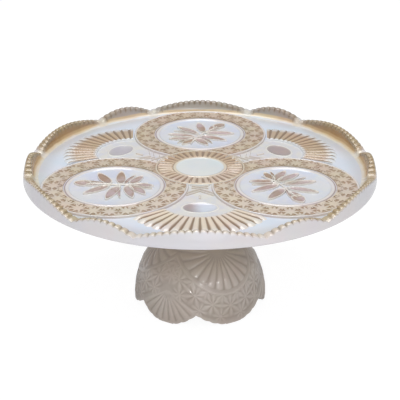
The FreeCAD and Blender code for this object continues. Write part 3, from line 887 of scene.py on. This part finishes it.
def medallion_profile():
    low = FLOOR_Z + 0.15
    ground = RAISED_Z - 0.35
    return [(0, low + 0.25), (12, low + 0.2), (24, low + 0.1), (34.2, low), (35.2, low + 0.2),
            (35.8, RAISED_Z - 0.1), (36.5, RAISED_Z + 0.15), (37.3, RAISED_Z + 0.15), (38.0, RAISED_Z),
            (38.5, ground - 0.1), (39.0, ground - 0.25), (39.5, ground - 0.1), (40.0, ground), (48, ground),
            (55.6, ground), (55.9, RAISED_Z + 0.1), (56.4, RAISED_Z + 0.5), (57.1, RAISED_Z + 0.45),
            (57.5, RAISED_Z), (57.8, FLOOR_Z - 0.6), (0, FLOOR_Z - 0.6), (0, low + 0.25)]


def star(reach, waist):
    """Eight-rayed star with a raised middle and ridged rays, on the flat."""
    piece = add(bpy.ops.mesh.primitive_circle_add, vertices=STAR_CORNERS, radius=reach,
                fill_type="TRIFAN")
    edit(piece, everything=False)

    def waists(co):
        """Every second corner of the edge, between two rays."""
        corner = round(math.atan2(co.y, co.x) / (TURN / STAR_CORNERS))
        return co.length > reach / 2 and corner % 2 == 1

    select_verts(piece, waists)
    bpy.ops.transform.resize(value=(waist / reach, waist / reach, 1), center_override=(0, 0, 0))
    bpy.ops.transform.translate(value=(0, 0, -STAR_HEIGHT * 0.75))
    select_verts(piece, lambda co: co.length < 0.01)
    bpy.ops.transform.translate(value=(0, 0, STAR_HEIGHT * 0.25))
    select_open_edges()
    bpy.ops.mesh.extrude_edges_move(TRANSFORM_OT_translate={"value": (0, 0, -STAR_HEIGHT)})
    bpy.ops.mesh.edge_face_add()
    leave()
    return piece


def make_star_band():
    """Row of stars with half stars along both edges, all round the back medallion."""
    step = TURN / STARS_ROUND
    row = star(6.9, 3.8)
    shift(row, MEDALLION[0] + STAR_ROW, MEDALLION[1], RAISED_Z + 0.3)
    parts = [row]
    for radius, keep in ((40.1, 1), (55.7, -1)):
        half = star(5.6, 3.2)
        shift(half, z=RAISED_Z + 0.25)
        cut_flat(half, (0, 0, 0), (-keep, 0, 0))
        shift(half, MEDALLION[0] + radius, MEDALLION[1])
        turn(half, step / 2, MEDALLION)
        parts.append(half)
    band = joined("star_band", parts)
    copies_round(band, STARS_ROUND, step, MEDALLION)
    drop_islands(band, lambda x, y: 38.5 < math.hypot(x, y) < 129.5)
    return band


def make_medallions(materials):
    base = lathe("medallion", medallion_profile(), 144, centre=MEDALLION)
    middle = (0, 0, FLOOR_Z + 2.4)
    carve(base, add(bpy.ops.mesh.primitive_cylinder_add, vertices=144, radius=35.9, depth=6, location=middle))
    tidy(base)
    r = np.hypot(*(points(base)[:, :2] - MEDALLION).T)
    paint(base, "band", in_ring(r, 39.8, 55.8))
    paint(base, "rim", in_ring(r, 35.4, 38.2) | (r > 55.7))
    paint(base, "line", np.where(in_ring(r, 38.3, 39.3), 1.0, np.where(r > 57.3, 0.4, 0.0)))
    band, spray = make_star_band(), make_spray()
    place_thirds([(base, materials["medallion"], True), (band, materials["stars"], False),
                  (spray, materials["leaves"], True)], 45)


# ---------------- Leaf spray in a medallion ----------------

def leaf(length, width, at, heading, curl):
    """Leaf with a raised edge round a sunk blade, from its stalk end at a place on the medallion."""
    piece = add(bpy.ops.mesh.primitive_circle_add, vertices=32, radius=1.0, fill_type="NGON")
    edit(piece)
    bpy.ops.mesh.extrude_region_move(TRANSFORM_OT_translate={"value": (0, 0, 1.0)})
    bpy.ops.mesh.inset(thickness=0.09)
    bpy.ops.mesh.inset(thickness=0.12)
    bpy.ops.transform.translate(value=(0, 0, -0.5))
    bpy.ops.mesh.inset(thickness=0.35)
    bpy.ops.transform.translate(value=(0, 0, -0.15))
    bpy.ops.mesh.poke()
    bpy.ops.transform.translate(value=(0, 0, 0.12))
    leave()
    x, y, z = points(piece).T
    paint(piece, "blade", (z > 0.1) & (z < 0.7))
    t = np.clip((x + 1) / 2, 0, 1)
    full = np.sin(np.pi * t ** 0.75) ** 0.6
    circle = np.sqrt(np.clip(1 - x ** 2, 1e-6, 1))
    along = t * length
    aside = y / np.maximum(circle, 0.25) * full * width / 2 + curl * t ** 2
    c, s = math.cos(heading), math.sin(heading)
    base = FLOOR_Z - 0.2
    level = base + z * (RAISED_Z + 0.3 - base)
    rows = [at[0] + along * c - aside * s, at[1] + along * s + aside * c, level]
    move_points(piece, np.stack(rows, axis=1))
    return piece


def stalk(path, width):
    """Rounded stalk along a short run of places, thin at its ends."""
    bend = add(bpy.ops.curve.primitive_bezier_curve_add)
    spline = bend.data.splines[0]
    bend.data.dimensions = "3D"
    spline.bezier_points.add(len(path) - 2)
    for number, (point, place) in enumerate(zip(spline.bezier_points, path)):
        point.co = (*place, RAISED_Z - 0.3)
        point.handle_left_type = point.handle_right_type = "AUTO"
        point.radius = 1.0 if 0 < number < len(path) - 1 else 0.6
    bend.data.bevel_depth = width / 2
    bend.data.bevel_resolution = 2
    bend.data.resolution_u = 10
    bend.data.use_fill_caps = True
    take_up(bend)
    bpy.ops.object.convert(target="MESH")
    return bpy.context.object


LEAVES = (  # length, width, stalk end across and up, heading in degrees, curl
    (25, 8.0, -4, -9, 158, 2.0), (27, 8.5, -2, -3, 128, 2.0), (25, 8.0, 3, 3, 103, -1.0),
    (23, 8.0, -4, -11, 190, -2.0), (26, 8.0, 0, -6, -22, -2.0), (25, 8.5, 5, 1, 2, -2.0),
    (19, 7.5, -3, -12, -62, 1.0), (17, 7.0, -5, -13, 232, 0.0), (13, 5.0, 9, 7, 72, 1.0),
    (14, 10.5, 13, 14, 52, 0.0), (24, 3.4, -1, -4, 143, 5.0), (23, 3.2, 2, 2, 28, 4.0),
    (20, 3.2, -2, -8, -40, -4.0), (18, 3.0, -5, -12, 208, 3.0))
STALK = ((-8, -25), (-4, -12), (2, -1), (9, 8), (15, 17))  # from the medallion's middle


def make_spray():
    """Spray of leaves with a bud at the end of its bent stalk, set in the back medallion."""
    x, y = MEDALLION
    parts = [stalk([(x + across, y + up) for across, up in STALK], 1.5)]
    for length, width, across, up, heading, curl in LEAVES:
        parts.append(leaf(length, width, (x + across, y + up), math.radians(heading), curl))
    return joined("spray", parts)


# ---------------- Channel between two medallions: tablet, crossed lines, chevrons and drop ----------------

CHEVRONS = ((-43.6, 10.0), (-47.6, 10.6))  # apex, and sideways run of each leg
SIDE_BARS = (  # start, end and width of the lines on the right; the left mirrors them
    ((6.6, -37.4), (-6.6, -42.6), 0.7),
    ((7.4, -28.5), (7.4, -36.6), 0.7),
    ((9.2, -29.5), (9.2, -39.0), 0.6))


def bar(start, end, width, top, foot):
    """Straight ridge with a roof-shaped top between two places."""
    a, b = Vector((*start, 0)), Vector((*end, 0))
    piece = add(bpy.ops.mesh.primitive_cube_add, size=1.0)
    edit(piece)
    bpy.ops.transform.resize(value=((b - a).length, width, 1.0))
    select_verts(piece, lambda co: co.z > 0)
    bpy.ops.transform.resize(value=(0.96, 0.3, 1.0), center_override=(0, 0, 0.5))
    leave()
    rows = points(piece)
    rows[:, 2] = np.where(rows[:, 2] > 0, top, foot)
    move_points(piece, rows)
    turn(piece, math.atan2(b.y - a.y, b.x - a.x))
    middle = (a + b) / 2
    shift(piece, middle.x, middle.y)
    return piece


def make_channels(materials):
    """Marks in the channel at the front, and their copies in the other two."""
    top, foot = RAISED_Z + 0.1, FLOOR_Z - 0.3
    parts = []
    for apex, leg in CHEVRONS:
        for side in (-1, 1):
            parts.append(bar((0, apex), (side * leg, apex - leg * 0.75), 0.8, top, foot))
    for side in (-1, 1):
        for (x, y), (end_x, end_y), width in SIDE_BARS:
            parts.append(bar((side * x, y), (side * end_x, end_y), width, top, foot))
    parts.append(bar((-6.0, -33.6), (6.0, -33.6), 4.4, RAISED_Z - 0.1, foot))
    parts.append(bar((0, -55.0), (0, -61.8), 2.0, RAISED_Z - 0.2, foot))
    place_thirds([(joined("channel_trim", parts), materials["hub"], False)], 30)


# ---------------- Foot ----------------

FOOT_TURN = math.radians(29.5)  # middle of a wide lobe, round from the front
FOOT_WIDE = math.radians(65.5)
WIDE_CURVE, NARROW_CURVE = 48.0, 35.4  # radius of the rise of the edge between lobes
LOBE_FLAT = 7.0  # half of the stretch that stands on the table
SCALLOP_WIDTH = 7.0
EDGE_REACH = 30.0  # the rise of the edge dies out at this height
FOOT_WALL = 5.5
FOOT_RELIEF = 0.8  # depth of the foot's pattern
FOOT_LEVEL = 0.55  # share of it that lies under the turned surface
BELL = [(55.4, 0), (55.4, 3.5), (55.1, 9.5), (54.4, 14.0), (53.6, 18.0), (52.3, 23.7), (50.4, 29.0),
        (48.0, 35.0), (44.6, 39.8), (40.0, 45.0), (35.6, 49.8), (31.3, 54.2), (27.8, 58.2), (25.2, 62.0),
        (23.1, 66.0), (22.1, 70.0), (22.0, 74.0), (22.4, 80.0), (23.5, 86.5), (25.4, 93.0), (28.3, 99.5),
        (33.0, 106.4)]  # outside of the foot, stem and collar: radius and height


def fine_line(line, gap):
    """Evenly spaced points along the smooth line that passes through the given ones."""
    rows = np.array(line, float)
    knots = np.vstack([2 * rows[0] - rows[1], rows, 2 * rows[-1] - rows[-2]])
    fine = []
    for a, b, c, d in zip(knots, knots[1:], knots[2:], knots[3:]):
        for t in np.arange(0, 1, 0.1):
            bend = 2 * a - 5 * b + 4 * c - d + t * (3 * (b - c) + d - a)
            fine.append(b + 0.5 * t * (c - a + t * bend))
    fine = np.array(fine + [knots[-2]])
    length = run_length(fine)
    where = np.linspace(0, length[-1], int(length[-1] / gap) + 1)
    return [(float(np.interp(w, length, fine[:, 0])), float(np.interp(w, length, fine[:, 1]))) for w in where]


def lower_edge(angle):
    """Height of the foot's lower edge at angles counted from the front, with its small scallops."""
    wide, aside, _ = in_lobes(angle - FOOT_TURN + FOOT_WIDE / 2, THIRD, FOOT_WIDE)
    offset = FOOT_R * np.sin(np.abs(aside))
    curve = np.where(wide, WIDE_CURVE, NARROW_CURVE)
    rise = np.sqrt(curve ** 2 - LOBE_FLAT ** 2) - np.sqrt(curve ** 2 - np.maximum(offset, LOBE_FLAT) ** 2)
    scallop = 0.8 * (1 - np.abs(np.sin(np.pi * aside * FOOT_R / SCALLOP_WIDTH)) ** 0.7)
    return np.where(offset > LOBE_FLAT, rise + scallop, 0)


HUB_TURN = math.radians(27.5)  # middle of a large fan, round from the front
HUB_Z = 55.0
HUB_REACH = 34.5  # ribs of a large fan end here
BAND_ROW = 46.5  # stars of the foot, from the large fan's hub
SMALL_HUB_Z = 27.5
SMALL_HALF = math.radians(57)  # half the spread of a small fan
RIB_TURN = math.radians(13.5)  # from rib to rib, seen from the hub
STAR_TURN = math.radians(19.5)  # from star to star, seen from the hub


def along_bell(z, line):
    """Distance along the outside of the bell up to a height."""
    rows = np.array(line)
    return np.interp(z, rows[:, 1], run_length(rows))


def bump_row(x, pitch, sharp=1.0):
    """Rounded ribs at multiples of a pitch: 1 on a rib's crest, 0 between ribs."""
    return np.abs(np.cos(np.pi * x / pitch)) ** sharp


def star_height(x, y, reach):
    """Eight-rayed star round the origin: ridged rays that fall away outwards."""
    r = np.hypot(x, y)
    rays = bump_row(np.arctan2(y, x), TURN / 8, 1.6)
    return np.clip(1.15 - r / reach, 0, 1) ** 0.6 * np.maximum(rays, np.clip(1.3 - r / 1.2, 0, 1))


def foot_relief(r, angle, z, line):
    """Height of the pressed pattern over the bell: 0 in its hollows and 1 on its crests."""
    up = along_bell(z, line)

    def from_hub(first, hub_z):
        """Place round the nearest of three hubs: sideways, downwards, reach and direction."""
        across = from_nearest(angle, first) * r
        down = along_bell(hub_z, line) - up
        return across, down, np.hypot(across, down), np.arctan2(across, down)

    _, _, reach, spoke = from_hub(HUB_TURN, HUB_Z)
    ribs = bump_row(spoke, RIB_TURN, 1.1) * smooth(reach, 4, 11)
    ribs = ribs * (1 - smooth(reach, HUB_REACH - 2.5, HUB_REACH)) + 0.55 * (1 - smooth(reach, 3, 9))
    ring = np.clip(1 - ((reach - 36.6) / 1.4) ** 2, 0, 1)

    number = np.round(spoke / STAR_TURN)
    stars = star_height(reach * (spoke - number * STAR_TURN), reach - BAND_ROW, 9.5)
    between = (spoke / STAR_TURN - np.floor(spoke / STAR_TURN) - 0.5) * STAR_TURN * reach
    for row in (BAND_ROW - 9.0, BAND_ROW + 9.0, BAND_ROW + 18.0):
        stars = np.maximum(stars, star_height(between, reach - row, 7.0))
    band = (0.12 + 0.88 * np.maximum(stars, 0.35 * smooth(reach, 56, 60))) * smooth(reach, 37.2, 38.4)

    across, down, small_reach, small_spoke = from_hub(FOOT_TURN + THIRD / 2, SMALL_HUB_Z)
    petals = bump_row(small_spoke, RIB_TURN * 1.05, 0.8) * smooth(small_reach, 2.5, 8)
    petals = petals + 0.6 * (1 - smooth(small_reach, 2, 6))
    above = np.maximum(star_height(across, down + 13, 9.0), 0.35)
    above = above * (1 - smooth(np.hypot(across, down + 11), 9, 13))
    in_small = (np.abs(small_spoke) < SMALL_HALF) & (small_reach < 40)
    aside = small_reach * np.sin(np.abs(small_spoke) - SMALL_HALF)
    border = 0.7 * np.clip(1 - (aside / 1.4) ** 2, 0, 1)
    border = np.where(np.abs(small_spoke) < math.radians(75), border, 0)

    plain = 0.45 * smooth(reach, HUB_REACH - 2, HUB_REACH) * (1 - smooth(reach, 37, 38))
    height = np.maximum(np.where(reach < HUB_REACH, ribs, np.maximum(band, ring)), plain)
    height = np.where(in_small, petals, np.maximum(height, above * (reach > 38)))
    return np.maximum(height, np.where(reach > 37.5, border, 0))


def make_foot(materials):
    """Turned bell, lobed below, with the pressed pattern raised on its outside."""
    outer = fine_line(BELL, 0.8)
    inner = [(r - FOOT_WALL, z) for r, z in BELL[:6]]
    inner += [(r - FOOT_WALL * 0.86, z - FOOT_WALL * 0.5) for r, z in BELL[6:12]]
    inner += [(r - FOOT_WALL, z - 2.0) for r, z in BELL[13:18]] + [(BELL[-1][0] - FOOT_WALL, COLLAR_Z)]
    foot = lathe("foot_shell", outer + inner[::-1] + outer[:1], 540)
    x, y, z = points(foot).T
    r = np.hypot(x, y)
    angle = np.arctan2(x, -y)
    edge = lower_edge(angle)
    new_z = np.where(z < EDGE_REACH, edge + z * (EDGE_REACH - edge) / EDGE_REACH, z)
    profile = np.array(outer)
    on_outside = np.abs(r - np.interp(z, profile[:, 1], profile[:, 0])) < 0.2
    true_r = np.interp(new_z, profile[:, 1], profile[:, 0])
    height = foot_relief(r, angle, new_z, outer)
    shown = on_outside * smooth(new_z, edge + 1.2, edge + 3.2) * (1 - smooth(new_z, 58, 63))
    grow = np.where(on_outside, true_r - r + FOOT_RELIEF * (height - FOOT_LEVEL) * shown, 0)
    scale = (r + grow) / np.maximum(r, 1e-6)
    move_points(foot, np.stack([x * scale, y * scale, new_z], axis=1))
    # darker glaze in the hollows of the pattern, partly painted shade
    paint(foot, "hollow", shown * np.clip(1 - 1.4 * height, 0, 1))
    finish_piece(foot, materials["foot"], 60, replaces=("foot", "stem"), merge=False)


# ---------------- Camera, light and floor ----------------

def make_camera():
    elevation = math.radians(24.303)
    distance = 0.85485
    aim_z = 0.0875
    camera = bpy.data.objects.new("camera", bpy.data.cameras.new("camera"))
    bpy.context.scene.collection.objects.link(camera)
    camera.location = (0, -distance * math.cos(elevation), aim_z + distance * math.sin(elevation))
    camera.rotation_euler = (TURN / 4 - elevation, 0, 0)
    camera.data.lens = 93.5
    camera.data.sensor_width = 36.0
    camera.data.clip_start = 0.01
    bpy.context.scene.camera = camera


def area_lamp(name, place, aim, size, power):
    lamp = bpy.data.lights.new(name, "AREA")
    lamp.shape = "DISK"
    lamp.size = size
    lamp.energy = power
    holder = bpy.data.objects.new(name, lamp)
    bpy.context.scene.collection.objects.link(holder)
    holder.location = place
    holder.rotation_euler = (Vector(aim) - Vector(place)).to_track_quat("-Z", "Y").to_euler()


def blend_shaders(tree, share, first, second, out):
    """Mix two shaders by a share of the second, into an output socket."""
    mix = tree.nodes.new("ShaderNodeMixShader")
    for number, socket in enumerate((share, first.outputs[0], second.outputs[0])):
        tree.links.new(socket, mix.inputs[number])
    tree.links.new(mix.outputs[0], out)


def make_light():
    """Soft light from above and in front, a small lamp for the glints, and a white room."""
    area_lamp("overhead", (-0.05, 0.1, 1.3), (0, 0, 0.1), 0.9, 10.0)
    area_lamp("front", (0.1, -1.3, 0.7), (0, 0, 0.08), 1.3, 5.6)
    area_lamp("spark", (0.15, -1.1, 0.75), (0, 0, 0.08), 0.05, 1.4)
    world = bpy.data.worlds.new("studio")
    bpy.context.scene.world = world
    world.use_nodes = True
    tree = world.node_tree
    tree.nodes.clear()
    paths = tree.nodes.new("ShaderNodeLightPath")
    backdrop = tree.nodes.new("ShaderNodeBackground")
    backdrop.inputs["Color"].default_value = (1, 1, 1, 1)
    backdrop.inputs["Strength"].default_value = 1.0
    fill = tree.nodes.new("ShaderNodeBackground")
    fill.inputs["Color"].default_value = colour("f4f5f8")
    fill.inputs["Strength"].default_value = 0.42
    out = tree.nodes.new("ShaderNodeOutputWorld")
    blend_shaders(tree, paths.outputs["Is Camera Ray"], fill, backdrop, out.inputs["Surface"])


def make_ground():
    """White studio floor that glows for the camera, so that only soft shadows show on it."""
    ground = add(bpy.ops.mesh.primitive_plane_add, size=40.0)
    ground.name = "studio_floor"
    material = bpy.data.materials.new("studio_floor")
    material.use_nodes = True
    tree = material.node_tree
    shader = tree.nodes["Principled BSDF"]
    shader.inputs["Base Color"].default_value = (0.85, 0.85, 0.85, 1)
    shader.inputs["Roughness"].default_value = 0.9
    shader.inputs["Specular IOR Level"].default_value = 0.0
    glow = tree.nodes.new("ShaderNodeEmission")
    glow.inputs["Strength"].default_value = 1.1
    paths = tree.nodes.new("ShaderNodeLightPath")
    share = times(tree, paths.outputs["Is Camera Ray"], 0.85)
    blend_shaders(tree, share, shader, glow, tree.nodes["Material Output"].inputs["Surface"])
    ground.data.materials.append(material)


def main():
    materials = make_materials()
    make_camera()
    make_light()
    make_ground()
    make_shell(materials)
    make_floor(materials)
    make_rosette(materials)
    make_fan(materials)
    make_medallions(materials)
    make_channels(materials)
    make_foot(materials)
    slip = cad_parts["slip_ring"]
    slip.data.materials.clear()
    slip.data.materials.append(materials["slip"])
    bpy.context.scene.view_settings.view_transform = "Standard"


main()
